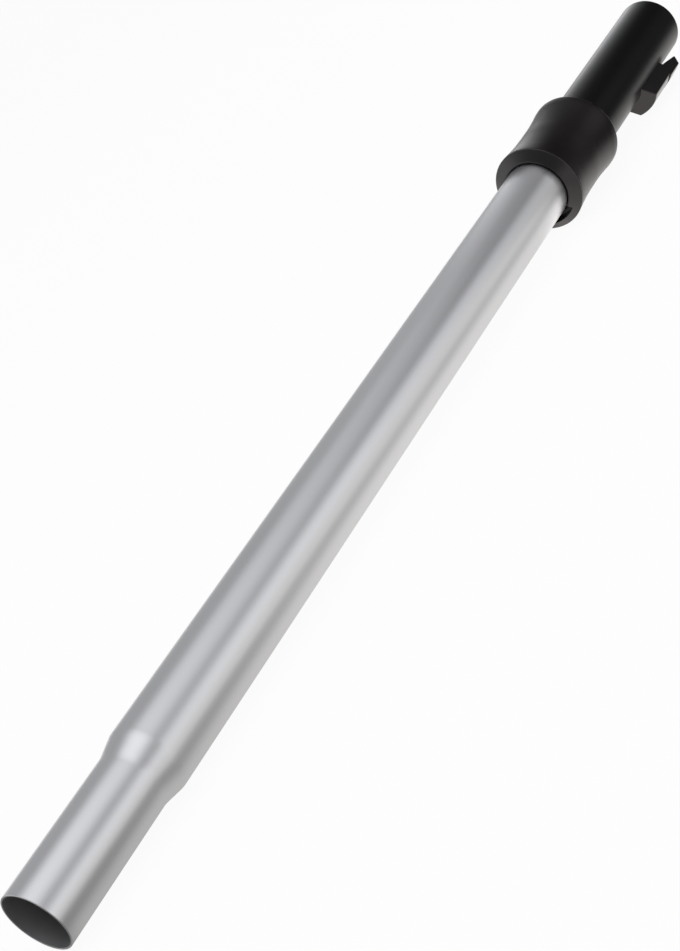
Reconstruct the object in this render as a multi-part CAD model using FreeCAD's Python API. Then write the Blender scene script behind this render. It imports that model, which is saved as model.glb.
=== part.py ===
import FreeCAD, Part
import math
import os

from FreeCAD import Vector

# Telescopic vacuum wand, pushed together and lying on the floor. Sizes are in millimetres.
# X runs along the wand from the mouth of the floor-tool spigot, which is the origin, and Z is up.
# Angles about the wand are counted from straight up, towards -Y.

# Lower tube: a thin metal tube, necked down to the spigot that takes the floor tool
spigot_diameter = 32.0
spigot_length = 69.2
neck_length = 11.8
neck_bend_inset = 0.6
neck_bend_radius = 6.0
tube_diameter = 36.5
tube_wall = 0.9
tube_length = 538.5

# Upper tube: slides inside the lower one, with a pressed key groove that keeps it from turning
inner_wall = 0.9
inner_low_gap = 6.0
key_width = 3.4
key_depth = 0.9

# Slide ring on the bottom end of the upper tube
slide_ring_wall = 1.0
slide_ring_length = 17.0
slide_ring_lip = 2.5
slide_ring_edge = 0.4

# Hose socket on the top end of the upper tube
socket_wall = 2.8
socket_draft = 0.2
socket_length = 130.5
socket_hold = 76.0
socket_stop = 3.0
socket_edge = 0.8
socket_low_edge = 0.35
hose_bore_diameter = 32.3
hose_mouth_bevel = 1.2

# Parking hook on the socket. The wand rolls until a corner of the hook meets the floor.
hook_start = 56.9
hook_length = 51.2
hook_width = 19.0
hook_reach = 9.6
hook_body_crown = 2.25
hook_end_lean = 9.0
hook_end_round = 1.2
hook_head_length = 18.1
hook_head_crown = 1.3
hook_head_step = 0.15
hook_finger = 14.3
hook_gap = 3.2
hook_tip_lean = 4.6
hook_tip_edge = 0.6
hook_root_round = 0.6
hook_boss_length = 16.0
hook_boss_width = 9.0
hook_boss_depth = 1.6
hook_angle = 151.0

# Guide bush: grips the lower tube's end, bears the upper tube and holds the clamp jaws
guide_skirt_length = 44.0
guide_grip_length = 25.0
guide_wall = 1.6
guide_flange_height = 2.7
guide_flange_thickness = 3.0
guide_edge = 0.3

# Clamp jaws, which the sleeve's cone presses on the upper tube
jaw_count = 3
jaw_sweep = 40.0
jaw_length = 10.0
jaw_setback = 4.0
jaw_stand = 0.5
jaw_lift = 0.5
jaw_edge = 0.4
release_travel = 7.0

# Lip seal round the upper tube
seal_setback = 3.5
seal_length = 3.4
seal_depth = 1.3
seal_lip_length = 1.2

# Release collar: waisted sleeve, bevelled front ring and rear cover
collar_chamber_play = 0.8
collar_waist_wall = 1.25
collar_lip_height = 1.4
collar_back_height = 1.35
collar_lip_run = 15.0
collar_flare_run = 12.0
collar_waist_round = 35.0
collar_back_length = 4.5
collar_back_round = 1.8
collar_edge = 0.35
collar_land = 7.0
cone_lead = 2.5
cover_thickness = 3.0
cover_margin = 3.0
cover_recess = 0.5
cover_seat = 0.9
nose_recess = 1.8
ring_skirt_length = 4.9
ring_skirt_wall = 1.3
ring_rim = 1.0
ring_bevel = 3.8
ring_bore_play = 0.35
ring_bore_edge = 1.0
notch_depth = 3.3
notch_sweep = 60.0
notch_turn = 17.0

# Return spring round the guide bush
spring_wire = 1.0
spring_turns = 5
spring_steps = 20
spring_sides = 8
spring_play = 0.5

# Edges up to this size are broken with a flat bevel, larger ones are rounded
bevel_limit = 1.0

# Clearances, each on one side
slide_clearance = 0.1
sleeve_clearance = 0.15
seat_clearance = 0.05
seal_clearance = 0.08
rest_gap = 0.3
stop_gap = 0.5
end_clearance = 0.15

# Radii that follow from those sizes
spigot_radius = spigot_diameter / 2
tube_radius = tube_diameter / 2
tube_bore_radius = tube_radius - tube_wall
slide_ring_radius = tube_bore_radius - slide_clearance
slide_ring_bore = slide_ring_radius - slide_ring_wall
inner_radius = slide_ring_bore - seat_clearance
inner_bore_radius = inner_radius - inner_wall
socket_hold_radius = inner_radius + seat_clearance
socket_radius = socket_hold_radius + socket_wall
hose_bore_radius = hose_bore_diameter / 2
bearing_radius = inner_radius + slide_clearance
guide_slot_radius = tube_radius + seat_clearance
guide_radius = guide_slot_radius + guide_wall
flange_radius = guide_radius + guide_flange_height
chamber_radius = flange_radius + collar_chamber_play
spring_radius = guide_radius + spring_play + spring_wire / 2
jaw_radius = guide_radius + jaw_stand
waist_radius = chamber_radius + collar_waist_wall
lip_radius = waist_radius + collar_lip_height
collar_radius = waist_radius + collar_back_height
cone_slope = jaw_lift / release_travel

# Places along the wand that follow from those sizes
neck_end = spigot_length + neck_length
inner_low = neck_end + inner_low_gap
slide_ring_top = inner_low + slide_ring_length
guide_low = tube_length - guide_skirt_length
flange_front = tube_length - guide_grip_length
flange_back = flange_front + guide_flange_thickness
jaw_front = tube_length + jaw_setback
jaw_back = jaw_front + jaw_length
cone_front = jaw_front - cone_lead
land_front = cone_front - collar_land
cone_back = jaw_back + release_travel + cover_margin
cover_back = cone_back + cover_thickness
collar_back = cover_back + cover_recess
guide_back = collar_back - nose_recess
ring_skirt_end = flange_front - rest_gap
sleeve_front = ring_skirt_end - ring_skirt_length
seal_front = jaw_back + seal_setback
socket_low = guide_back + rest_gap
inner_top = socket_low + socket_hold
hose_stop = inner_top + socket_stop
socket_top = socket_low + socket_length
hook_low = socket_low + hook_start
hook_tip = hook_low + hook_length
slide_travel = guide_low - stop_gap - slide_ring_top

X_AXIS = Vector(1, 0, 0)
ORIGIN = Vector(0, 0, 0)


def eased_corner(before, corner, after, size):
    """Edge that bevels or rounds a corner, tangent to its two sides where it is an arc."""
    back = (before - corner).normalize()
    ahead = (after - corner).normalize()
    if size <= bevel_limit:
        return Part.LineSegment(corner + back * size, corner + ahead * size)
    half_angle = back.getAngle(ahead) / 2
    run = size / math.tan(half_angle)
    middle = (back + ahead).normalize() * (size / math.sin(half_angle) - size)
    return Part.Arc(corner + back * run, corner + middle, corner + ahead * run)


def rounded_face(corners):
    """Face in the XZ plane from (x, z, easing) corners, each bevelled or rounded by its easing."""
    points = [Vector(x, 0, z) for x, z, easing in corners]
    edges = []
    pen = None
    for index, (x, z, easing) in enumerate(corners):
        start = end = points[index]
        curve = None
        if easing > 0:
            following = points[(index + 1) % len(points)]
            curve = eased_corner(points[index - 1], points[index], following, easing)
            start = curve.StartPoint
            end = curve.EndPoint
        if pen is None:
            first = start
        else:
            edges.append(Part.LineSegment(pen, start).toShape())
        if curve is not None:
            edges.append(curve.toShape())
        pen = end
    edges.append(Part.LineSegment(pen, first).toShape())
    return Part.Face(Part.Wire(edges))


def turned(corners):
    """Solid of revolution about the wand's axis, from (x, radius, rounding) corners."""
    return rounded_face(corners).revolve(ORIGIN, X_AXIS, 360)


def sector(corners, angle, sweep):
    """Part of a revolution, centred on an angle about the wand's axis."""
    face = rounded_face(corners)
    face.rotate(ORIGIN, X_AXIS, angle - sweep / 2)
    return face.revolve(ORIGIN, X_AXIS, sweep)


def sharp(*points):
    """Corners with no rounding."""
    return [(x, z, 0) for x, z in points]


def pipe(front, back, radius):
    """Plain cylinder along the wand."""
    return Part.makeCylinder(radius, back - front, Vector(front, 0, 0), X_AXIS)


def key_bar(front, back, low, high, width):
    """Straight bar along the wand on the hook's side, between two distances from the axis."""
    bar = Part.makeBox(back - front, width, high - low, Vector(front, -width / 2, low))
    bar.rotate(ORIGIN, X_AXIS, hook_angle)
    return bar


def key_rib(front, back, root_radius):
    """Rib that stands in the upper tube's key groove, rooted in the wall round it."""
    tip = inner_radius - key_depth + end_clearance
    return key_bar(front, back, tip, root_radius, key_width - 2 * end_clearance)


def jaw_angles():
    """The jaws are spread evenly, with the key groove midway between two of them."""
    step = 360.0 / jaw_count
    return [hook_angle + step * (index + 0.5) for index in range(jaw_count)]


def cone_radius(x):
    """The sleeve's clamping cone opens towards the hose end."""
    return jaw_radius + slide_clearance + cone_slope * (x - jaw_front)


def socket_outside(x):
    """The socket's outside widens a little towards its mouth."""
    return socket_radius + socket_draft * (x - socket_low) / socket_length


def make_outer_tube():
    return turned([
        (0, spigot_radius - tube_wall, 0),
        (0, spigot_radius, 0),
        (spigot_length + neck_bend_inset, spigot_radius, neck_bend_radius),
        (neck_end - neck_bend_inset, tube_radius, neck_bend_radius),
        (tube_length, tube_radius, 0),
        (tube_length, tube_bore_radius, 0),
        (neck_end - neck_bend_inset, tube_bore_radius, neck_bend_radius),
        (spigot_length + neck_bend_inset, spigot_radius - tube_wall, neck_bend_radius),
    ])


def make_inner_tube():
    groove_floor = inner_radius - key_depth
    outside = pipe(inner_low, inner_top, inner_radius)
    outside = outside.cut(key_bar(inner_low, inner_top, groove_floor, tube_radius, key_width))
    inside = pipe(inner_low, inner_top, inner_bore_radius)
    bead_width = key_width + 2 * inner_wall
    bead = key_bar(inner_low, inner_top, groove_floor - inner_wall, tube_radius, bead_width)
    return outside.cut(inside.cut(bead))


def make_slide_ring():
    lip_front = inner_low - slide_ring_lip
    ring = turned([
        (lip_front, inner_bore_radius, 0),
        (lip_front, slide_ring_radius, slide_ring_edge),
        (slide_ring_top, slide_ring_radius, slide_ring_edge),
        (slide_ring_top, slide_ring_bore, 0),
        (inner_low, slide_ring_bore, 0),
        (inner_low, inner_bore_radius, 0),
    ])
    rib_root = slide_ring_bore + slide_ring_wall / 2
    return ring.fuse(key_rib(inner_low, slide_ring_top, rib_root)).removeSplitter()


def make_guide_bush():
    skirt_radius = tube_bore_radius - seat_clearance
    bush = turned([
        (guide_low, bearing_radius, 0),
        (guide_back, bearing_radius, guide_edge),
        (guide_back, guide_radius, guide_edge),
        (flange_back, guide_radius, 0),
        (flange_back, flange_radius, guide_edge),
        (flange_front, flange_radius, guide_edge),
        (flange_front, guide_slot_radius, 0),
        (tube_length, guide_slot_radius, 0),
        (tube_length, skirt_radius, 0),
        (guide_low, skirt_radius, guide_edge),
    ])
    rib_root = (bearing_radius + skirt_radius) / 2
    bush = bush.fuse(key_rib(guide_low, guide_back, rib_root))
    seal_radius = bearing_radius + seal_depth
    bush = bush.cut(turned(sharp(
        (seal_front, 0),
        (seal_front + seal_length, 0),
        (seal_front + seal_length, seal_radius),
        (seal_front, seal_radius),
    )))
    window_front = jaw_front - end_clearance
    window_back = jaw_back + end_clearance
    window_sweep = jaw_sweep + 2 * math.degrees(end_clearance / inner_radius)
    for angle in jaw_angles():
        bush = bush.cut(sector(sharp(
            (window_front, inner_bore_radius),
            (window_back, inner_bore_radius),
            (window_back, jaw_radius),
            (window_front, jaw_radius),
        ), angle, window_sweep))
    return bush.removeSplitter()


def make_seal_ring():
    front = seal_front + seat_clearance
    back = seal_front + seal_length - seat_clearance
    outer = bearing_radius + seal_depth - seat_clearance
    lip = inner_radius + seal_clearance
    ring = turned([
        (front, outer, 0),
        (front, (lip + outer) / 2, 0),
        (back - seal_lip_length, lip, 0),
        (back, lip, 0),
        (back, outer, 0),
    ])
    return ring.fuse(key_rib(back - seal_lip_length, back, (lip + outer) / 2)).removeSplitter()


def make_clamp_jaw(angle):
    return sector([
        (jaw_front, bearing_radius, jaw_edge),
        (jaw_back, bearing_radius, jaw_edge),
        (jaw_back, cone_radius(jaw_back) - slide_clearance, jaw_edge),
        (jaw_front, cone_radius(jaw_front) - slide_clearance, jaw_edge),
    ], angle, jaw_sweep)


def make_return_spring():
    front = flange_back + seat_clearance + spring_wire / 2
    back = land_front - seat_clearance - spring_wire / 2
    step_count = spring_turns * spring_steps
    path = []
    for step in range(step_count + 1):
        turn = 2 * math.pi * step / spring_steps
        x = front + (back - front) * step / step_count
        path.append(Vector(x, spring_radius * math.cos(turn), spring_radius * math.sin(turn)))
    section = []
    for side in range(spring_sides):
        corner = 2 * math.pi * side / spring_sides
        across = spring_wire / 2 * math.cos(corner)
        along = spring_wire / 2 * math.sin(corner)
        section.append(path[0] + Vector(along, across, 0))
    wire = Part.makePolygon(section + section[:1])
    mitred = 1
    return Part.makePolygon(path).makePipeShell([wire], True, False, mitred)


def make_release_sleeve():
    land_radius = guide_radius + sleeve_clearance
    flare_back = collar_back - collar_back_length
    cover_bore = cone_radius(cone_back) + cover_seat
    return turned([
        (sleeve_front, chamber_radius, 0),
        (sleeve_front, lip_radius, collar_edge),
        (sleeve_front + collar_lip_run, waist_radius, collar_waist_round),
        (flare_back - collar_flare_run, waist_radius, collar_waist_round),
        (flare_back, collar_radius, collar_waist_round),
        (collar_back, collar_radius, collar_back_round),
        (collar_back, cover_bore, collar_edge),
        (cone_back, cover_bore, 0),
        (cone_back, cone_radius(cone_back), 0),
        (cone_front, cone_radius(cone_front), 0),
        (cone_front, land_radius, 0),
        (land_front, land_radius, 0),
        (land_front, chamber_radius, 0),
    ])


def make_front_ring():
    bore = tube_radius + ring_bore_play
    rim_front = sleeve_front - ring_rim
    plug = chamber_radius - seat_clearance
    ring = turned([
        (rim_front - ring_bevel, bore, ring_bore_edge),
        (rim_front, lip_radius, collar_edge),
        (sleeve_front, lip_radius, collar_edge),
        (sleeve_front, plug, 0),
        (ring_skirt_end, plug, 0),
        (ring_skirt_end, plug - ring_skirt_wall, 0),
        (sleeve_front, plug - ring_skirt_wall, 0),
        (sleeve_front, bore, 0),
    ])
    notch = sector(sharp(
        (rim_front - ring_bevel, 0),
        (ring_skirt_end, 0),
        (ring_skirt_end, bore + notch_depth),
        (rim_front - ring_bevel, bore + notch_depth),
    ), hook_angle + notch_turn, notch_sweep)
    return ring.cut(notch)


def make_rear_cover():
    outside = cone_radius(cone_back) + cover_seat - seat_clearance
    return turned([
        (cone_back, guide_radius + sleeve_clearance, collar_edge),
        (cone_back, outside, 0),
        (cover_back, outside, collar_edge),
        (cover_back, guide_radius + sleeve_clearance, collar_edge),
    ])


def hook_boss(play):
    """Block under the hook that sits in a pocket of the socket's wall."""
    middle = hook_low + hook_end_lean + (hook_length - hook_finger - hook_end_lean) / 2
    length = hook_boss_length + 2 * play
    width = hook_boss_width + 2 * play
    bottom = socket_outside(middle) - hook_boss_depth - play
    height = hook_boss_depth + hook_reach / 2
    return Part.makeBox(length, width, height, Vector(middle - length / 2, -width / 2, bottom))


def make_hose_socket():
    socket = turned([
        (socket_low, socket_hold_radius, socket_low_edge),
        (socket_low, socket_radius, socket_edge),
        (socket_top, socket_outside(socket_top), socket_edge),
        (socket_top, hose_bore_radius + hose_mouth_bevel, 0),
        (socket_top - hose_mouth_bevel, hose_bore_radius, 0),
        (hose_stop, hose_bore_radius, 0),
        (hose_stop, inner_bore_radius, 0),
        (inner_top, inner_bore_radius, 0),
        (inner_top, socket_hold_radius, 0),
    ])
    rib_root = socket_hold_radius + socket_wall / 2
    socket = socket.fuse(key_rib(socket_low + socket_low_edge, inner_top, rib_root))
    pocket = hook_boss(seat_clearance)
    pocket.rotate(ORIGIN, X_AXIS, hook_angle)
    return socket.cut(pocket).removeSplitter()


def crowned_bar(front, back, top, crown):
    """Bar as wide as the hook or wider, whose round top falls by the crown towards the hook's sides."""
    half_width = hook_width / 2
    radius = (half_width ** 2 + crown ** 2) / (2 * crown)
    return Part.makeCylinder(radius, back - front, Vector(front, 0, top - radius), X_AXIS)


def make_park_hook():
    top = socket_radius + hook_reach
    body_top = top - hook_head_step
    head_front = hook_tip - hook_head_length
    finger_front = hook_tip - hook_finger
    saddle = socket_outside(finger_front) + seat_clearance
    outline = [
        (hook_low, socket_radius / 2, 0),
        (hook_low + hook_end_lean, body_top, hook_end_round),
        (head_front, body_top, 0),
        (head_front, top, 0),
        (hook_tip - hook_tip_lean, top, hook_tip_edge),
        (hook_tip, saddle + hook_gap, hook_tip_edge),
        (finger_front, saddle, hook_root_round),
        (finger_front - hook_root_round, socket_radius / 2, 0),
    ]
    side = rounded_face(outline)
    side.translate(Vector(0, -hook_width / 2, 0))
    block = side.extrude(Vector(0, hook_width, 0))
    body_crown = crowned_bar(hook_low, head_front, body_top, hook_body_crown)
    head_crown = crowned_bar(head_front, hook_tip, top, hook_head_crown)
    crown = body_crown.fuse(head_crown)
    under = turned(sharp(
        (socket_low, 0),
        (socket_top, 0),
        (socket_top, socket_outside(socket_top) + seat_clearance),
        (socket_low, socket_radius + seat_clearance),
    ))
    hook = block.common(crown).cut(under).fuse(hook_boss(0)).removeSplitter()
    hook.rotate(ORIGIN, X_AXIS, hook_angle)
    return hook


def main():
    pieces = {
        "outer_tube": make_outer_tube(),
        "guide_bush": make_guide_bush(),
        "seal_ring": make_seal_ring(),
        "return_spring": make_return_spring(),
        "release_sleeve": make_release_sleeve(),
        "front_ring": make_front_ring(),
        "rear_cover": make_rear_cover(),
        "inner_tube": make_inner_tube(),
        "slide_ring": make_slide_ring(),
        "hose_socket": make_hose_socket(),
        "park_hook": make_park_hook(),
    }
    for number, angle in enumerate(jaw_angles(), start=1):
        pieces[f"clamp_jaw_{number}"] = make_clamp_jaw(angle)

    os.makedirs("parts", exist_ok=True)
    for name, shape in pieces.items():
        shape.exportStep(f"parts/{name}.step")
        box = shape.BoundBox
        print(
            f"{name}: valid {shape.isValid()}, solids {len(shape.Solids)}, "
            f"volume {shape.Volume:.0f}, x {box.XMin:.2f} to {box.XMax:.2f}")
    print(f"length {socket_top:.1f}, travel {slide_travel:.1f}, hook tip at {hook_tip:.1f}")


main()
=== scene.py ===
import math

import bmesh
import bpy
from mathutils import Matrix, Vector


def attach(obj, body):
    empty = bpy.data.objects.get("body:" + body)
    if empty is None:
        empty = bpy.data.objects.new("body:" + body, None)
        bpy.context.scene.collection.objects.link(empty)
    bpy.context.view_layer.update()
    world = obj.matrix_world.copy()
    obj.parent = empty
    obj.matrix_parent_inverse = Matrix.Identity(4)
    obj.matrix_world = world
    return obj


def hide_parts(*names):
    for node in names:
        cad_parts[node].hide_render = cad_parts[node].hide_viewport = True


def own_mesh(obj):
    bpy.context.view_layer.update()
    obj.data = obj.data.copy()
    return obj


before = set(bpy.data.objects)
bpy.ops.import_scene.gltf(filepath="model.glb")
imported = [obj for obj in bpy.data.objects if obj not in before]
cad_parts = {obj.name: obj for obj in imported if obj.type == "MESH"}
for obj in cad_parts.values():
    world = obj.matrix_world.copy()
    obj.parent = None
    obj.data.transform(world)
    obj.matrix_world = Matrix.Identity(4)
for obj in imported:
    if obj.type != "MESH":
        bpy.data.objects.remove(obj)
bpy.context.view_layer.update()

# The wand lies along X, pushed together. Sizes are in millimetres unless a name says otherwise.
MM = 0.001

# Lower tube
SPIGOT_RADIUS = 16.0
NECK_LOW = 69.8
NECK_HIGH = 80.4
NECK_BEND = 14.0
TUBE_RADIUS = 18.25
TUBE_WALL = 0.9
TUBE_END = 538.5
TUBE_RIM_ROUND = 0.3

# Upper tube
INNER_RADIUS = 16.2
INNER_WALL = 0.9
INNER_LOW = 87.0
INNER_TOP = 640.5
INNER_RIM_ROUND = 0.3
KEY_HALF_FLOOR = 1.15
KEY_HALF_MOUTH = 2.0
KEY_DEPTH = 0.9

# Hose socket
SOCKET_LOW = 564.5
SOCKET_TOP = 695.0
SOCKET_LOW_RADIUS = 19.05
SOCKET_TOP_RADIUS = 19.25
SOCKET_HOLD_RADIUS = 16.25
SOCKET_STOP_RADIUS = 15.3
HOSE_STOP = 643.5
HOSE_BORE_RADIUS = 16.15
HOSE_MOUTH_BEVEL = 1.2
SOCKET_ROUND = 0.8
SOCKET_INNER_ROUND = 0.35

# Parking hook, in its own frame where Z points away from the wand
HOOK_ANGLE = 151.0
HOOK_FOOT = 621.4
HOOK_FOOT_RADIUS = 9.525
HOOK_TOP = 28.65
HOOK_LEAN = 9.0
HOOK_HALF_WIDTH = 9.5
HOOK_BODY_CROWN = 2.25
HOOK_HEAD = 654.5
HOOK_HEAD_CROWN = 1.3
HOOK_HEAD_STEP = 0.15
HOOK_HEAD_SLOPE = 0.4
HOOK_ROOT = 657.7
HOOK_FINGER = 658.3
HOOK_TIP = 672.6
HOOK_TIP_LEAN = 4.6
HOOK_SADDLE = 19.24
HOOK_GAP = 3.2
HOOK_END_ROUND = 1.2
HOOK_TIP_ROUND = 0.5
HOOK_ROOT_ROUND = 0.6
HOOK_FLANK_ROUND = 0.35

# Release collar
SLEEVE_FRONT = 508.3
SLEEVE_BACK = 566.0
LIP_RADIUS = 26.05
WAIST_RADIUS = 24.65
BACK_RADIUS = 26.0
LIP_RUN = 15.0
FLARE_FRONT = 549.5
FLARE_BACK = 561.5
WAIST_ROUND = 150.0
FLARE_ROUND = 35.0
BACK_ROUND = 1.8
COLLAR_EDGE = 0.35
CHAMBER_RADIUS = 23.4
CHAMBER_BACK = 533.0
LAND_RADIUS = 20.05
CONE_FRONT = 540.0
CONE_BACK = 562.5
CONE_FRONT_RADIUS = 20.321
CONE_BACK_RADIUS = 21.929
COVER_RADIUS = 22.829
COVER_BACK = 565.5
SEAT_PLAY = 0.05
RING_FRONT = 503.5
RING_RIM = 507.3
RING_BORE = 18.6
RING_SKIRT_END = 513.2
RING_SKIRT_WALL = 1.3
RING_BORE_ROUND = 1.0
NOTCH_DEPTH = 3.3
NOTCH_MIDDLE = HOOK_ANGLE + 17.0
NOTCH_HALF_SWEEP = 30.0
NOTCH_SLOPE = 1.2
NOTCH_ROUND = 0.2

# Return spring
SPRING_FRONT = 517.05
SPRING_BACK = 532.45
SPRING_RADIUS = 20.9
SPRING_WIRE = 1.0
SPRING_TURNS = 5.0

# Fineness of the meshes, with closer angles round the key groove and the notch's ends
AROUND = 240
LONGEST_RUN = 22.0
ARC_STEP_DEGREES = 9.0
SHARP_DEGREES = 32.0
FLAT_EDGE = 0.1
KEY_REACH_DEGREES = 8.0
KEY_STEP_DEGREES = 0.5
NOTCH_REACH_DEGREES = 1.5
NOTCH_STEP_DEGREES = 0.15
HOOK_STATIONS = 18
HOOK_ROUND_STEPS = 4
HOOK_ARC_STEPS = 6
COIL_POINTS_A_TURN = 48
WIRE_SIDES = 14
JOIN_DISTANCE_M = 1e-6

# Finishes, where a grain's scale is in features a metre along X, Y and Z
STREAK_SCALE = (9.0, 1700.0, 1700.0)
STREAK_SHARE = 0.6
STREAK_ROUGHNESS = 0.1
STREAK_STRENGTH = 0.5
METAL_CLOUD_SCALE = (14.0, 60.0, 60.0)
METAL_CLOUD_ROUGHNESS = 0.06
BORE_DULLNESS = 0.27
# Darkening of the bore's colour: painted shade inside the tube
BORE_PAINTED_SHADE = 0.35
MOULD_SCALE = (2600.0, 2600.0, 2600.0)
MOULD_SHARE = 0.3
MOULD_ROUGHNESS = 0.08
MOULD_STRENGTH = 0.6
MOULD_GRAIN_ROUGHNESS = 0.6
PLASTIC_CLOUD_SCALE = (45.0, 45.0, 45.0)
PLASTIC_CLOUD_ROUGHNESS = 0.04
PLASTIC_WARMTH = (1.0, 0.94, 0.93, 1)
SHEEN = 0.25
SHEEN_ROUGHNESS = 0.2
BLOOM_SCALE = (180.0, 180.0, 180.0)
BLOOM_ROUGHNESS = 0.2
RUBBER_SCALE = (3200.0, 3200.0, 3200.0)
RUBBER_LIGHT = (0.03, 0.03, 0.029, 1)
RUBBER_DARK = (0.012, 0.012, 0.012, 1)
RUBBER_ROUGHNESS = 0.62
RUBBER_SPECULAR = 0.35
RUBBER_DEPTH_M = 20e-6
RUBBER_STRENGTH = 0.5
FINE_DETAIL = 3.0
SOFT_DETAIL = 2.0
GRAIN_MIDDLE = 0.5
WHITE = (1, 1, 1, 1)

# Camera, placed about the wand's axis at the photograph's viewing angle
CAMERA_BEFORE_SPIGOT = 227.11
CAMERA_FROM_AXIS = 616.59
CAMERA_ASIDE = 1.02
CAMERA_PITCH_DEGREES = 51.81
CAMERA_ROLL_DEGREES = 34.479
CAMERA_TURN_DEGREES = HOOK_ANGLE - 90.0
CAMERA_LENS = 63.13
SENSOR_SIZE = 36.0
CLIP_NEAR_M = 0.01
CLIP_FAR_M = 50.0

# Floor, which the tube's shoulder and the collar's lip touch
SHOULDER_X = 81.0
LIP_X = 507.4
FLOOR_HALF_SIZE_M = 8.0
FLOOR_SEEN_SHARE = 0.94
FLOOR_MIRROR_SHARE = 0.9
FLOOR_MATT = (0.85, 0.85, 0.85, 1)
FLOOR_TINT = (1.0, 0.985, 0.965)

# The floor glows as painted light in mirrored rays, with painted shade beside and under the wand
# Floor's glow in mirrored rays. Pairs are where a ramp starts and ends, in metres along X or Y.
GLOW_FRONT_X = (-0.015, 0.012)
GLOW_FRONT_SHARE = 0.2
GLOW_TUBE_X = (-0.05, 0.32)
GLOW_TUBE = 0.5
GLOW_TUBE_RISE = 0.37
GLOW_ASIDE_Y = (-0.06, -0.11)
GLOW_ASIDE = 0.76
# Dark band in the floor's glow beside the tube: painted shade of the wand
SHADE_SKEW = 0.03
SHADE_BAND = (-0.04, 0.008, 0.03)
SHADE_DEPTH = 0.29
SHADE_DEPTH_RISE = 0.06
GLOW_SOCKET_SKEW = 1.15
GLOW_SOCKET_X = (0.462, 0.507)
GLOW_SOCKET = 1.4
GLOW_SOCKET_OUTER_Y = (-0.023, -0.055)
GLOW_SOCKET_OUTER_FALL = 1.3
GLOW_SOCKET_UNDER_Y = (-0.004, 0.008)
GLOW_SOCKET_UNDER_FALL = 0.5
GLOW_BEHIND_Y = (0.004, 0.04)
GLOW_BEHIND = 1.0

# Studio light by direction. Pairs are where a ramp starts and ends, in the X of the direction.
# Bands are a middle, a flat half width and a reach, in degrees about the wand from up to -Y.
STUDIO_TINT = (0.97, 0.98, 1.0)
ROOM = 0.31
FAR_X = (0.745, 0.795)
ROOM_FAR_FALL = 0.25
ROOM_END_X = (0.86, 0.92)
ROOM_END_FALL = 0.05
ROOM_FRONT_X = (0.0, -0.6)
ROOM_FRONT_FALL = 0.13
STRIPS_X = (-0.6, -0.15)
OVERHEAD_BAND = (11.0, 11.0, 46.0)
OVERHEAD_X = (0.84, 0.3)
OVERHEAD = 0.66
OVERHEAD_FRONT_X = (0.5, 0.0)
OVERHEAD_FRONT_RISE = 0.16
SIDE_BAND = (88.0, 9.0, 32.0)
SIDE_SHIFT_X = (0.36, 0.54)
SIDE_SHIFT_DEGREES = 12.0
SIDE = 0.64
SIDE_FAR_FALL = 0.63
EDGE_BAND = (-95.0, 14.0, 102.0)
EDGE_END_X = (0.96, 0.88)
EDGE = 0.12
LATER_X = (0.77, 0.8)
EDGE_LATER_RISE = 1.35
FARTHER_X = (0.78, 0.86)
EDGE_FARTHER_RISE = 0.5
RIM_BAND = (-92.0, 10.0, 45.0)
RIM = 0.8
FRONT_BAND = (-88.0, 16.0, 50.0)
FRONT_X = (-0.12, -0.3)
FRONT = 0.7

# Soft light above the wand
FILL_ANGLE = 10.0
FILL_DISTANCE_M = 1.6
FILL_MIDDLE_M = 0.35
FILL_LENGTH_M = 2.4
FILL_WIDTH_M = 2.0
FILL_RADIANCE = 0.9


def eased_outline(corners, arc_steps=None, longest=None):
    """Closed outline of (x, z) points from (x, z, easing) corners, each rounded by its easing.

    A point just beyond each end of a rounding keeps the flat sides flat in smooth shading.
    """
    points = [Vector((x, z)) for x, z, easing in corners]
    outline = []
    for index, (x, z, easing) in enumerate(corners):
        corner = points[index]
        if easing <= 0:
            outline.append(corner)
            continue
        back = (points[index - 1] - corner).normalized()
        ahead = (points[(index + 1) % len(points)] - corner).normalized()
        half = back.angle(ahead) / 2
        run = easing / math.tan(half)
        centre = corner + (back + ahead).normalized() * (easing / math.sin(half))
        start = corner + back * run - centre
        backdrop_and_glow = math.pi - 2 * half
        side = 1 if back.x * ahead.y - back.y * ahead.x < 0 else -1
        steps = arc_steps or max(2, math.ceil(math.degrees(backdrop_and_glow) / ARC_STEP_DEGREES))
        outline.append(corner + back * (run + FLAT_EDGE))
        for step in range(steps + 1):
            turn = side * backdrop_and_glow * step / steps
            cosine, sine = math.cos(turn), math.sin(turn)
            outline.append(centre + Vector((
                start.x * cosine - start.y * sine, start.x * sine + start.y * cosine)))
        outline.append(corner + ahead * (run + FLAT_EDGE))
    if longest is None:
        return outline
    divided = []
    for index, point in enumerate(outline):
        following = outline[(index + 1) % len(outline)]
        pieces = max(1, math.ceil((following - point).length / longest))
        divided += [point.lerp(following, share / pieces) for share in range(pieces)]
    return divided


def placed(name, data):
    """New object at the origin of the scene."""
    made = bpy.data.objects.new(name, data)
    bpy.context.scene.collection.objects.link(made)
    return made


def join_rows(bm, row, beside):
    """Faces between two closed rows of points."""
    for step in range(len(row)):
        after = (step + 1) % len(row)
        bm.faces.new((row[step], row[after], beside[after], beside[step]))


def finished_mesh(bm, name):
    """Mesh object at the origin from a closed bmesh in millimetres, smooth but for edges and caps."""
    bmesh.ops.scale(bm, vec=(MM, MM, MM), verts=bm.verts)
    bmesh.ops.recalc_face_normals(bm, faces=bm.faces)
    mesh = bpy.data.meshes.new(name)
    bm.to_mesh(mesh)
    bm.free()
    mesh.shade_smooth()
    mesh.set_sharp_from_angle(angle=math.radians(SHARP_DEGREES))
    for face in mesh.polygons:
        face.use_smooth = len(face.vertices) <= 4
    return placed(name, mesh)


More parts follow.
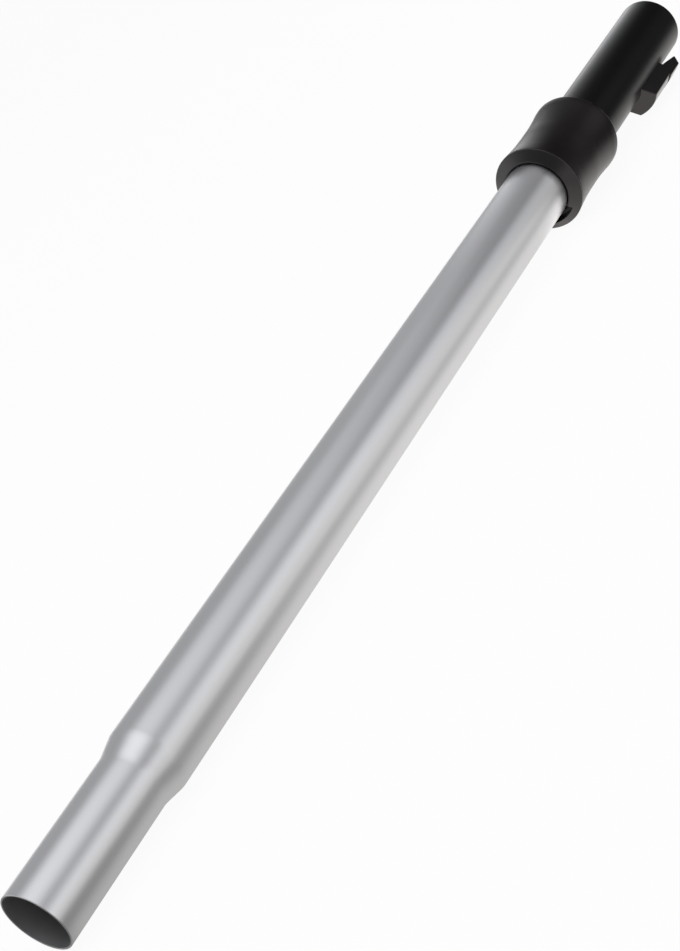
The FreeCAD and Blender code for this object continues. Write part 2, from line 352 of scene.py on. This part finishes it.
def turned_piece(name, outline_at, angles):
    """Revolved shell whose outline may change with the angle about the wand, counted from up to -Y."""
    bm = bmesh.new()
    rows = []
    for angle in angles:
        sine, cosine = math.sin(math.radians(angle)), math.cos(math.radians(angle))
        row = [bm.verts.new((p.x, -p.y * sine, p.y * cosine)) for p in outline_at(angle)]
        rows.append(row)
    for index, row in enumerate(rows):
        join_rows(bm, row, rows[(index + 1) % len(rows)])
    return finished_mesh(bm, name)


def even_angles():
    """Angles of the rows round a turned piece, in degrees."""
    return [360.0 * step / AROUND for step in range(AROUND)]


def plain_turned(name, corners):
    """Revolved shell with the same outline all round."""
    outline = eased_outline(corners, longest=LONGEST_RUN)
    return turned_piece(name, lambda angle: outline, even_angles())


def smooth_share(value):
    """0 to 1 with soft ends."""
    value = min(1.0, max(0.0, value))
    return value * value * (3 - 2 * value)


def angle_from(angle, middle):
    """Size of the turn between two angles, in degrees."""
    return abs((angle - middle + 180.0) % 360.0 - 180.0)


def fine_angles(places, reach, step):
    """Even angles with closer ones round some places."""
    angles = {round(angle, 4) for angle in even_angles()}
    for place in places:
        count = int(2 * reach / step)
        angles |= {round((place - reach + step * index) % 360.0, 4) for index in range(count + 1)}
    ordered = sorted(angles)
    kept = [ordered[0]]
    for angle in ordered[1:]:
        if angle - kept[-1] > step / 3:
            kept.append(angle)
    return kept


def make_lower_tube():
    return plain_turned("lower_tube_drawn", [
        (0, SPIGOT_RADIUS - TUBE_WALL, TUBE_RIM_ROUND),
        (0, SPIGOT_RADIUS, TUBE_RIM_ROUND),
        (NECK_LOW, SPIGOT_RADIUS, NECK_BEND),
        (NECK_HIGH, TUBE_RADIUS, NECK_BEND),
        (TUBE_END, TUBE_RADIUS, TUBE_RIM_ROUND),
        (TUBE_END, TUBE_RADIUS - TUBE_WALL, TUBE_RIM_ROUND),
        (NECK_HIGH, TUBE_RADIUS - TUBE_WALL, NECK_BEND),
        (NECK_LOW, SPIGOT_RADIUS - TUBE_WALL, NECK_BEND),
    ])


def make_upper_tube():
    bore = INNER_RADIUS - INNER_WALL
    ramp = KEY_HALF_MOUTH - KEY_HALF_FLOOR

    def outline_at(angle):
        along_skin = math.radians(angle_from(angle, HOOK_ANGLE)) * INNER_RADIUS
        dent = KEY_DEPTH * smooth_share((KEY_HALF_MOUTH - along_skin) / ramp)
        return eased_outline([
            (INNER_LOW, bore - dent, INNER_RIM_ROUND),
            (INNER_LOW, INNER_RADIUS - dent, INNER_RIM_ROUND),
            (INNER_TOP, INNER_RADIUS - dent, INNER_RIM_ROUND),
            (INNER_TOP, bore - dent, INNER_RIM_ROUND),
        ], longest=LONGEST_RUN)

    angles = fine_angles([HOOK_ANGLE], KEY_REACH_DEGREES, KEY_STEP_DEGREES)
    return turned_piece("upper_tube_drawn", outline_at, angles)


def make_socket():
    mouth = SOCKET_TOP - HOSE_MOUTH_BEVEL
    return plain_turned("socket_moulding", [
        (SOCKET_LOW, SOCKET_HOLD_RADIUS, SOCKET_INNER_ROUND),
        (SOCKET_LOW, SOCKET_LOW_RADIUS, SOCKET_ROUND),
        (SOCKET_TOP, SOCKET_TOP_RADIUS, SOCKET_ROUND),
        (SOCKET_TOP, HOSE_BORE_RADIUS + HOSE_MOUTH_BEVEL, SOCKET_INNER_ROUND),
        (mouth, HOSE_BORE_RADIUS, SOCKET_INNER_ROUND),
        (HOSE_STOP, HOSE_BORE_RADIUS, 0),
        (HOSE_STOP, SOCKET_STOP_RADIUS, SOCKET_INNER_ROUND),
        (INNER_TOP, SOCKET_STOP_RADIUS, 0),
        (INNER_TOP, SOCKET_HOLD_RADIUS, 0),
    ])


def crown_drop(across, crown):
    """Fall of a round top that is lower by the crown at the hook's sides."""
    radius = (HOOK_HALF_WIDTH ** 2 + crown ** 2) / (2 * crown)
    return radius - math.sqrt(radius ** 2 - across ** 2)


def hook_corners(across, inset):
    """The hook's side outline at a distance across it, drawn in by an inset near its flanks."""
    body = HOOK_TOP - HOOK_HEAD_STEP - crown_drop(across, HOOK_BODY_CROWN) - inset
    head = HOOK_TOP - crown_drop(across, HOOK_HEAD_CROWN) - inset
    foot = math.sqrt(HOOK_SADDLE ** 2 - across ** 2)
    tip = HOOK_SADDLE + HOOK_GAP
    end_lean = HOOK_LEAN / (HOOK_TOP - HOOK_HEAD_STEP - HOOK_FOOT_RADIUS)
    tip_lean = HOOK_TIP_LEAN / (HOOK_TOP - tip)
    return [
        (HOOK_FOOT + end_lean * (foot - HOOK_FOOT_RADIUS) + inset, foot, 0),
        (HOOK_FOOT + end_lean * (body - HOOK_FOOT_RADIUS) + inset, body, HOOK_END_ROUND),
        (HOOK_HEAD, body, 0),
        (HOOK_HEAD + HOOK_HEAD_SLOPE, head, 0),
        (HOOK_TIP - tip_lean * (head - tip) - inset, head, HOOK_TIP_ROUND),
        (HOOK_TIP - inset, tip + inset, HOOK_TIP_ROUND),
        (HOOK_FINGER - inset, HOOK_SADDLE + inset, HOOK_ROOT_ROUND),
        (HOOK_ROOT - inset, foot, 0),
    ]


def make_hook():
    flat = HOOK_HALF_WIDTH - HOOK_FLANK_ROUND
    stations = []
    for step in range(HOOK_ROUND_STEPS):
        turn = math.pi / 2 * (1 - step / HOOK_ROUND_STEPS)
        across = flat + HOOK_FLANK_ROUND * math.sin(turn)
        stations.append((across, HOOK_FLANK_ROUND * (1 - math.cos(turn))))
    crossing = [
        (flat - 2 * flat * step / HOOK_STATIONS, 0.0) for step in range(HOOK_STATIONS + 1)]
    mirrored = [(-across, inset) for across, inset in reversed(stations)]
    bm = bmesh.new()
    rows = []
    for across, inset in stations + crossing + mirrored:
        outline = eased_outline(hook_corners(across, inset), arc_steps=HOOK_ARC_STEPS)
        rows.append([bm.verts.new((p.x, across, p.y)) for p in outline])
    for row, beside in zip(rows, rows[1:]):
        join_rows(bm, row, beside)
    bm.faces.new(rows[0])
    bm.faces.new(rows[-1])
    turn = Matrix.Rotation(math.radians(HOOK_ANGLE), 3, "X")
    bmesh.ops.rotate(bm, cent=(0, 0, 0), matrix=turn, verts=bm.verts)
    return finished_mesh(bm, "hook_moulding")


def make_sleeve():
    return plain_turned("collar_sleeve", [
        (SLEEVE_FRONT, CHAMBER_RADIUS, 0),
        (SLEEVE_FRONT, LIP_RADIUS, COLLAR_EDGE),
        (SLEEVE_FRONT + LIP_RUN, WAIST_RADIUS, WAIST_ROUND),
        (FLARE_FRONT, WAIST_RADIUS, WAIST_ROUND),
        (FLARE_BACK, BACK_RADIUS, FLARE_ROUND),
        (SLEEVE_BACK, BACK_RADIUS, BACK_ROUND),
        (SLEEVE_BACK, COVER_RADIUS, COLLAR_EDGE),
        (CONE_BACK, COVER_RADIUS, 0),
        (CONE_BACK, CONE_BACK_RADIUS, 0),
        (CONE_FRONT, CONE_FRONT_RADIUS, 0),
        (CONE_FRONT, LAND_RADIUS, 0),
        (CHAMBER_BACK, LAND_RADIUS, 0),
        (CHAMBER_BACK, CHAMBER_RADIUS, 0),
    ])


def make_front_ring():
    plug = CHAMBER_RADIUS - SEAT_PLAY
    face_slope = (RING_RIM - RING_FRONT) / (LIP_RADIUS - RING_BORE)

    def outline_at(angle):
        inside = (NOTCH_HALF_SWEEP - angle_from(angle, NOTCH_MIDDLE)) / NOTCH_SLOPE
        notched = smooth_share(inside + 0.5)
        deeper = NOTCH_DEPTH * notched
        bore = RING_BORE + deeper
        bore_round = RING_BORE_ROUND + (NOTCH_ROUND - RING_BORE_ROUND) * notched
        return eased_outline([
            (RING_FRONT + deeper * face_slope, bore, bore_round),
            (RING_RIM, LIP_RADIUS, COLLAR_EDGE),
            (SLEEVE_FRONT, LIP_RADIUS, COLLAR_EDGE),
            (SLEEVE_FRONT, plug, 0),
            (RING_SKIRT_END, plug, 0),
            (RING_SKIRT_END, plug - RING_SKIRT_WALL, 0),
            (SLEEVE_FRONT, plug - RING_SKIRT_WALL, 0),
            (SLEEVE_FRONT, bore, 0),
        ])

    ends = [NOTCH_MIDDLE - NOTCH_HALF_SWEEP, NOTCH_MIDDLE + NOTCH_HALF_SWEEP]
    angles = fine_angles(ends, NOTCH_REACH_DEGREES, NOTCH_STEP_DEGREES)
    return turned_piece("collar_front_ring", outline_at, angles)


def make_rear_cover():
    outside = COVER_RADIUS - SEAT_PLAY
    return plain_turned("collar_rear_cover", [
        (CONE_BACK, LAND_RADIUS, COLLAR_EDGE),
        (CONE_BACK, outside, COLLAR_EDGE),
        (COVER_BACK, outside, COLLAR_EDGE),
        (COVER_BACK, LAND_RADIUS, COLLAR_EDGE),
    ])


def merged_node(node, name):
    """Smooth piece with the form of a CAD node, its loose triangles joined."""
    bm = bmesh.new()
    bm.from_mesh(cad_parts[node].data)
    bmesh.ops.remove_doubles(bm, verts=bm.verts, dist=JOIN_DISTANCE_M)
    bmesh.ops.scale(bm, vec=(1 / MM, 1 / MM, 1 / MM), verts=bm.verts)
    return finished_mesh(bm, name)


class Shade:
    """A node's socket in plain arithmetic, where each step adds a Math node."""

    def __init__(self, nodes, socket):
        self.nodes = nodes
        self.socket = socket

    def step(self, operation, first, second):
        return self.nodes.node("ShaderNodeMath", {"operation": operation}, {0: first, 1: second})

    def __add__(self, other):
        return self.step("ADD", self, other)

    __radd__ = __add__

    def __sub__(self, other):
        return self.step("SUBTRACT", self, other)

    def __rsub__(self, other):
        return self.step("SUBTRACT", other, self)

    def __mul__(self, other):
        return self.step("MULTIPLY", self, other)

    __rmul__ = __mul__


class Nodes:
    """A node tree that is filled node by node."""

    def __init__(self, tree):
        self.tree = tree
        tree.nodes.clear()

    def node(self, kind, settings, inputs, output=0):
        """Adds a node, sets it, fills its sockets and gives one of its outputs, if it has any."""
        made = self.tree.nodes.new(kind)
        for name, value in settings.items():
            setattr(made, name, value)
        for key, value in inputs.items():
            if isinstance(value, Shade):
                self.tree.links.new(value.socket, made.inputs[key])
            else:
                made.inputs[key].default_value = value
        return Shade(self, made.outputs[output]) if made.outputs else None

    def place(self):
        """The piece's own coordinates."""
        return self.node("ShaderNodeTexCoord", {}, {}, "Object")

    def axis(self, place, name):
        """One coordinate of a place or a direction."""
        return self.node("ShaderNodeSeparateXYZ", {}, {0: place}, name)

    def grain(self, scale, detail, roughness=0.5):
        """Noise on the piece's own coordinates, with a scale for each axis."""
        spread = self.node("ShaderNodeMapping", {}, {"Vector": self.place(), "Scale": scale})
        return self.node("ShaderNodeTexNoise", {}, {
            "Vector": spread, "Scale": 1.0, "Detail": detail, "Roughness": roughness}, "Fac")

    def blend(self, share, first, second):
        """Mix of two colours."""
        settings = {"data_type": "RGBA", "clamp_factor": True}
        return self.node("ShaderNodeMix", settings, {0: share, 6: first, 7: second}, 2)

    def relief(self, height, distance, strength):
        """Surface normal from a height, with its depth in metres."""
        return self.node("ShaderNodeBump", {}, {
            "Height": height, "Distance": distance, "Strength": strength}, "Normal")

    def ramp(self, value, low, high):
        """Share that rises softly from 0 at the low value to 1 at the high one."""
        settings = {"interpolation_type": "SMOOTHSTEP"}
        return self.node("ShaderNodeMapRange", settings, {
            "Value": value, "From Min": low, "From Max": high, "To Min": 0.0, "To Max": 1.0})

    def band(self, value, middle, flat, reach):
        """Share that is 1 within a flat half width of the middle and fades out at the reach."""
        offset = value - middle
        return 1.0 - self.ramp(offset.step("ABSOLUTE", offset, 0.0), flat, reach)

    def dimmed(self, colour, share):
        """A colour, turned down or up."""
        return self.node("ShaderNodeVectorMath", {"operation": "SCALE"}, {0: colour, "Scale": share})


def coil_tree():
    """Round wire wound along X, with named inputs for its sizes."""
    tree = bpy.data.node_groups.new("wound_coil", "GeometryNodeTree")
    for name in ("Turns", "Coil Radius", "Length", "Wire Radius", "Start"):
        tree.interface.new_socket(name, in_out="INPUT", socket_type="NodeSocketFloat")
    tree.interface.new_socket("Finish", in_out="INPUT", socket_type="NodeSocketMaterial")
    tree.interface.new_socket("Geometry", in_out="OUTPUT", socket_type="NodeSocketGeometry")
    nodes = Nodes(tree)

    def given(name):
        return nodes.node("NodeGroupInput", {}, {}, name)

    helix = nodes.node("GeometryNodeCurveSpiral", {}, {
        "Resolution": COIL_POINTS_A_TURN,
        "Rotations": given("Turns"),
        "Start Radius": given("Coil Radius"),
        "End Radius": given("Coil Radius"),
        "Height": given("Length"),
    })
    section = nodes.node("GeometryNodeCurvePrimitiveCircle", {}, {
        "Resolution": WIRE_SIDES,
        "Radius": given("Wire Radius"),
    })
    wire = nodes.node("GeometryNodeCurveToMesh", {}, {
        "Curve": helix,
        "Profile Curve": section,
        "Fill Caps": True,
    })
    laid = nodes.node("GeometryNodeTransform", {}, {
        "Geometry": wire,
        "Translation": nodes.node("ShaderNodeCombineXYZ", {}, {"X": given("Start")}),
        "Rotation": (0, math.pi / 2, 0),
    })
    smooth = nodes.node("GeometryNodeSetShadeSmooth", {}, {0: laid})
    realized = nodes.node("GeometryNodeRealizeInstances", {}, {0: smooth})
    dressed = nodes.node("GeometryNodeSetMaterial", {}, {
        "Geometry": realized,
        "Material": given("Finish"),
    })
    nodes.node("NodeGroupOutput", {}, {0: dressed})
    return tree


def make_spring(finish):
    """Return spring from the coil tree, made a plain mesh."""
    tree = coil_tree()
    carrier = placed("coil_carrier", bpy.data.meshes.new("coil_carrier"))
    modifier = carrier.modifiers.new("coil", "NODES")
    modifier.node_group = tree
    sizes = {
        "Turns": SPRING_TURNS,
        "Coil Radius": SPRING_RADIUS * MM,
        "Length": (SPRING_BACK - SPRING_FRONT) * MM,
        "Wire Radius": SPRING_WIRE / 2 * MM,
        "Start": SPRING_FRONT * MM,
        "Finish": finish,
    }
    for item in tree.interface.items_tree:
        if item.in_out == "INPUT":
            modifier[item.identifier] = sizes[item.name]
    depsgraph = bpy.context.evaluated_depsgraph_get()
    mesh = bpy.data.meshes.new_from_object(carrier.evaluated_get(depsgraph))
    bpy.data.objects.remove(carrier)
    mesh.name = "coil_spring"
    return placed("coil_spring", mesh)


def new_finish(name):
    """Material with an empty node tree."""
    material = bpy.data.materials.new(name)
    material.use_nodes = True
    return material, Nodes(material.node_tree)


def close_finish(nodes, sockets):
    """Principled surface with its sockets, as the material's output."""
    surface = nodes.node("ShaderNodeBsdfPrincipled", {}, sockets)
    nodes.node("ShaderNodeOutputMaterial", {}, {"Surface": surface})


def drawn_metal(name, light, dark, roughness, streak_depth, bore=0.0):
    """Drawn tube with fine lengthwise lines and a faint cloudiness, left dull inside its bore, where
    its colour is darkened as painted shade.
    """
    material, nodes = new_finish(name)
    across = nodes.node("ShaderNodeVectorMath", {"operation": "MULTIPLY"}, {
        0: nodes.place(), 1: (0, 1, 1)})
    radius = nodes.node("ShaderNodeVectorMath", {"operation": "LENGTH"}, {0: across}, "Value")
    inside = 1.0 - nodes.ramp(radius, bore * MM, (bore + TUBE_WALL / 2) * MM)
    streaks = nodes.grain(STREAK_SCALE, FINE_DETAIL)
    clouds = nodes.grain(METAL_CLOUD_SCALE, SOFT_DETAIL)
    colour = nodes.blend(streaks * STREAK_SHARE + clouds * (1 - STREAK_SHARE), dark, light)
    streak_change = (streaks - GRAIN_MIDDLE) * STREAK_ROUGHNESS
    cloud_change = (clouds - GRAIN_MIDDLE) * METAL_CLOUD_ROUGHNESS
    close_finish(nodes, {
        # Inside the bore the colour is darkened as painted shade; the dullness there is a rougher
        # finish
        "Base Color": nodes.dimmed(colour, 1.0 - inside * BORE_PAINTED_SHADE),
        "Metallic": 1.0,
        "Roughness": roughness + inside * BORE_DULLNESS + streak_change + cloud_change,
        "Normal": nodes.relief(streaks, streak_depth, STREAK_STRENGTH),
    })
    return material


def moulded_plastic(name, light, dark, roughness, texture_depth, specular):
    """Moulded plastic with the fine eroded texture of its mould."""
    material, nodes = new_finish(name)
    texture = nodes.grain(MOULD_SCALE, FINE_DETAIL, MOULD_GRAIN_ROUGHNESS)
    clouds = nodes.grain(PLASTIC_CLOUD_SCALE, SOFT_DETAIL)
    texture_change = (texture - GRAIN_MIDDLE) * MOULD_ROUGHNESS
    cloud_change = (clouds - GRAIN_MIDDLE) * PLASTIC_CLOUD_ROUGHNESS
    close_finish(nodes, {
        "Base Color": nodes.blend(clouds * (1 - MOULD_SHARE) + texture * MOULD_SHARE, dark, light),
        "Roughness": roughness + texture_change + cloud_change,
        "Specular IOR Level": specular,
        "Specular Tint": PLASTIC_WARMTH,
        "Sheen Weight": SHEEN,
        "Sheen Tint": PLASTIC_WARMTH,
        "Sheen Roughness": SHEEN_ROUGHNESS,
        "Normal": nodes.relief(texture, texture_depth, MOULD_STRENGTH),
    })
    return material


def soft_rubber(name):
    """Matt rubber with a bloom on its skin."""
    material, nodes = new_finish(name)
    bloom = nodes.grain(BLOOM_SCALE, FINE_DETAIL)
    skin = nodes.grain(RUBBER_SCALE, SOFT_DETAIL)
    close_finish(nodes, {
        "Base Color": nodes.blend(bloom, RUBBER_DARK, RUBBER_LIGHT),
        "Roughness": RUBBER_ROUGHNESS + (bloom - GRAIN_MIDDLE) * BLOOM_ROUGHNESS,
        "Specular IOR Level": RUBBER_SPECULAR,
        "Normal": nodes.relief(skin, RUBBER_DEPTH_M, RUBBER_STRENGTH),
    })
    return material


FINISHES = {
    "satin_silver": drawn_metal(
        "satin_silver_tube", light=(0.82, 0.82, 0.83, 1), dark=(0.77, 0.77, 0.785, 1),
        roughness=0.33, streak_depth=0.8e-6, bore=SPIGOT_RADIUS - TUBE_WALL),
    "bright_silver": drawn_metal(
        "bright_silver_tube", light=(0.86, 0.86, 0.87, 1), dark=(0.78, 0.78, 0.80, 1),
        roughness=0.15, streak_depth=3e-6),
    "spring_steel": drawn_metal(
        "spring_steel_wire", light=(0.60, 0.61, 0.63, 1), dark=(0.48, 0.49, 0.51, 1),
        roughness=0.3, streak_depth=3e-6),
    "socket_black": moulded_plastic(
        "socket_black_plastic", light=(0.003, 0.003, 0.003, 1), dark=(0.002, 0.002, 0.002, 1),
        roughness=0.3, texture_depth=4e-6, specular=0.175),
    "collar_black": moulded_plastic(
        "collar_black_plastic", light=(0.008, 0.006, 0.006, 1), dark=(0.006, 0.005, 0.005, 1),
        roughness=0.33, texture_depth=4e-6, specular=0.22),
    "hook_black": moulded_plastic(
        "hook_black_plastic", light=(0.004, 0.003, 0.003, 1), dark=(0.003, 0.002, 0.002, 1),
        roughness=0.2, texture_depth=3e-6, specular=0.5),
    "ring_black": moulded_plastic(
        "ring_black_plastic", light=(0.005, 0.005, 0.006, 1), dark=(0.004, 0.004, 0.005, 1),
        roughness=0.3, texture_depth=4e-6, specular=0.8),
    "guide_plastic": moulded_plastic(
        "guide_black_plastic", light=(0.033, 0.033, 0.035, 1), dark=(0.027, 0.027, 0.029, 1),
        roughness=0.4, texture_depth=8e-6, specular=0.45),
    "jaw_plastic": moulded_plastic(
        "jaw_grey_plastic", light=(0.31, 0.32, 0.34, 1), dark=(0.25, 0.26, 0.28, 1),
        roughness=0.5, texture_depth=12e-6, specular=0.45),
    "seal_rubber": soft_rubber("seal_black_rubber"),
}


def dress(piece, node, body, slot):
    """Gives a piece its finish and puts it on its body in place of a CAD node."""
    piece.data.materials.clear()
    piece.data.materials.append(FINISHES[slot])
    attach(piece, body)
    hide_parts(node)
    return piece


dress(make_lower_tube(), "outer_tube", "lower_tube", "satin_silver")
dress(merged_node("guide_bush", "bush_moulding"), "guide_bush", "lower_tube", "guide_plastic")
dress(merged_node("seal_ring", "lip_seal"), "seal_ring", "lower_tube", "seal_rubber")
dress(make_upper_tube(), "inner_tube", "upper_tube", "bright_silver")
dress(merged_node("slide_ring", "slide_ring_moulding"), "slide_ring", "upper_tube", "guide_plastic")
dress(make_socket(), "hose_socket", "upper_tube", "socket_black")
dress(make_hook(), "park_hook", "upper_tube", "hook_black")
dress(make_sleeve(), "release_sleeve", "release_collar", "collar_black")
dress(make_front_ring(), "front_ring", "release_collar", "ring_black")
dress(make_rear_cover(), "rear_cover", "release_collar", "ring_black")
for number in (1, 2, 3):
    jaw = f"clamp_jaw_{number}"
    dress(merged_node(jaw, f"jaw_moulding_{number}"), jaw, f"jaw_{number}", "jaw_plastic")

coil_spring = dress(
    make_spring(FINISHES["spring_steel"]), "return_spring", "lower_tube", "spring_steel")
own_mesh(coil_spring)


def make_camera():
    """Camera beside the wand's spigot end, pitched along the wand and rolled as the photograph is."""
    pitch = math.radians(CAMERA_PITCH_DEGREES)
    roll = math.radians(CAMERA_ROLL_DEGREES)
    level_right = Vector((0, -1, 0))
    level_up = Vector((math.sin(pitch), 0, math.cos(pitch)))
    right = level_right * math.cos(roll) + level_up * math.sin(roll)
    up = level_up * math.cos(roll) - level_right * math.sin(roll)
    back = right.cross(up)
    place = Vector((-CAMERA_BEFORE_SPIGOT, CAMERA_ASIDE, CAMERA_FROM_AXIS)) * MM
    pose = Matrix((right, up, back)).transposed().to_4x4()
    pose.translation = place
    data = bpy.data.cameras.new("photo_camera")
    data.lens = CAMERA_LENS
    data.sensor_width = SENSOR_SIZE
    data.clip_start = CLIP_NEAR_M
    data.clip_end = CLIP_FAR_M
    camera = placed("photo_camera", data)
    turn = Matrix.Rotation(math.radians(CAMERA_TURN_DEGREES), 4, "X")
    camera.matrix_world = turn @ pose
    bpy.context.scene.camera = camera


def ray_share(nodes, kind):
    """Share that is 1 for rays of one kind."""
    return nodes.node("ShaderNodeLightPath", {}, {}, kind)


def floor_surface(nodes):
    """White to the camera with a faint shadow, painted light and shade glowing in mirrored rays, matt
    otherwise.
    """
    seen = ray_share(nodes, "Is Camera Ray")
    mirrored = ray_share(nodes, "Is Glossy Ray")
    place = nodes.place()
    x = nodes.axis(place, "X")
    y = nodes.axis(place, "Y")
    front = nodes.ramp(x, *GLOW_FRONT_X)
    along = nodes.ramp(x, *GLOW_TUBE_X)
    beyond = nodes.ramp(x + y * GLOW_SOCKET_SKEW, *GLOW_SOCKET_X)
    behind = nodes.ramp(y, *GLOW_BEHIND_Y)
    under_tube = GLOW_TUBE + along * GLOW_TUBE_RISE
    # A dark band beside the tube, painted shade in the glow
    painted_shade = nodes.band(y + x * SHADE_SKEW, *SHADE_BAND) * (SHADE_DEPTH + along * SHADE_DEPTH_RISE)
    beside_tube = under_tube + nodes.ramp(y, *GLOW_ASIDE_Y) * (GLOW_ASIDE - under_tube) - painted_shade
    # The glow falls off beside the socket, and under it as painted shade
    outer_fall = nodes.ramp(y, *GLOW_SOCKET_OUTER_Y) * GLOW_SOCKET_OUTER_FALL
    under_fall = nodes.ramp(y, *GLOW_SOCKET_UNDER_Y) * GLOW_SOCKET_UNDER_FALL
    beside_socket = GLOW_SOCKET - outer_fall - under_fall
    graded = beside_tube + beyond * (beside_socket - beside_tube)
    level = graded + behind * (GLOW_BEHIND - graded)
    glow = level * (GLOW_FRONT_SHARE + front * (1.0 - GLOW_FRONT_SHARE))
    mirror_colour = nodes.dimmed(FLOOR_TINT, glow)
    matt = nodes.node("ShaderNodeBsdfDiffuse", {}, {"Color": FLOOR_MATT})
    # Emission that is the white floor to the camera and painted light in mirrored rays
    backdrop_and_glow = nodes.node("ShaderNodeEmission", {}, {
        "Color": nodes.blend(seen, mirror_colour, WHITE), "Strength": 1.0})
    share = seen * FLOOR_SEEN_SHARE + mirrored * FLOOR_MIRROR_SHARE
    return nodes.node("ShaderNodeMixShader", {}, {0: share, 1: matt, 2: backdrop_and_glow})


def make_floor():
    """White floor under the tube's shoulder and the collar's lip, glowing with painted light and shade
    in mirrored rays.
    """
    slope = (LIP_RADIUS - TUBE_RADIUS) / (LIP_X - SHOULDER_X)
    bm = bmesh.new()
    corners = []
    for x, y in ((-1, -1), (1, -1), (1, 1), (-1, 1)):
        reach = x * FLOOR_HALF_SIZE_M
        drop = TUBE_RADIUS * MM + (reach - SHOULDER_X * MM) * slope
        corners.append(bm.verts.new((reach, y * FLOOR_HALF_SIZE_M, -drop)))
    bm.faces.new(corners)
    mesh = bpy.data.meshes.new("floor")
    bm.to_mesh(mesh)
    bm.free()
    material, nodes = new_finish("floor_white")
    nodes.node("ShaderNodeOutputMaterial", {}, {"Surface": floor_surface(nodes)})
    mesh.materials.append(material)
    floor = placed("floor", mesh)


def make_world():
    """White to the camera, and a soft grey studio round the object."""
    world = bpy.data.worlds.new("studio")
    world.use_nodes = True
    bpy.context.scene.world = world
    nodes = Nodes(world.node_tree)
    way = nodes.node("ShaderNodeTexCoord", {}, {}, "Generated")
    x = nodes.axis(way, "X")
    y = nodes.axis(way, "Y")
    z = nodes.axis(way, "Z")
    turn = y.step("ARCTAN2", 0.0 - y, z) * math.degrees(1)
    far = nodes.ramp(x, *FAR_X)
    later = nodes.ramp(x, *LATER_X)
    farther = nodes.ramp(x, *FARTHER_X)
    strips = nodes.ramp(x, *STRIPS_X)
    ends = nodes.ramp(x, *EDGE_END_X)
    end_fall = nodes.ramp(x, *ROOM_END_X) * ROOM_END_FALL
    front_fall = nodes.ramp(x, *ROOM_FRONT_X) * ROOM_FRONT_FALL
    room = ROOM - far * ROOM_FAR_FALL - end_fall - front_fall
    overhead = nodes.band(turn, *OVERHEAD_BAND) * nodes.ramp(x, *OVERHEAD_X) * strips
    above = overhead * (OVERHEAD + nodes.ramp(x, *OVERHEAD_FRONT_X) * OVERHEAD_FRONT_RISE)
    shift = nodes.ramp(x, *SIDE_SHIFT_X) * SIDE_SHIFT_DEGREES
    side = nodes.band(turn + shift, *SIDE_BAND) * strips * (SIDE - far * SIDE_FAR_FALL)
    behind = nodes.band(turn, *EDGE_BAND) * ends
    rim = nodes.band(turn, *RIM_BAND) * ends * later * RIM
    edges = behind * (EDGE + later * EDGE_LATER_RISE + farther * EDGE_FARTHER_RISE) + rim
    front = nodes.band(turn, *FRONT_BAND) * nodes.ramp(x, *FRONT_X) * FRONT
    light = room + above + side + edges + front
    studio = nodes.node("ShaderNodeBackground", {}, {
        "Color": nodes.dimmed(STUDIO_TINT, light), "Strength": 1.0})
    white = nodes.node("ShaderNodeBackground", {}, {"Color": WHITE, "Strength": 1.0})
    shown = nodes.node("ShaderNodeMixShader", {}, {
        0: ray_share(nodes, "Is Camera Ray"), 1: studio, 2: white})
    nodes.node("ShaderNodeOutputWorld", {}, {"Surface": shown})


def make_fill_light():
    """Soft strip parallel to the wand, which doesn't show in mirrored rays."""
    data = bpy.data.lights.new("top_fill", "AREA")
    data.shape = "RECTANGLE"
    data.size = FILL_LENGTH_M
    data.size_y = FILL_WIDTH_M
    data.energy = FILL_RADIANCE * math.pi * FILL_LENGTH_M * FILL_WIDTH_M
    lamp = placed("top_fill", data)
    turn = Matrix.Rotation(math.radians(FILL_ANGLE), 4, "X")
    lamp.matrix_world = turn @ Matrix.Translation((FILL_MIDDLE_M, 0, FILL_DISTANCE_M))
    lamp.visible_glossy = False


make_camera()
make_floor()
make_world()
make_fill_light()

bpy.context.scene.view_settings.view_transform = "Standard"
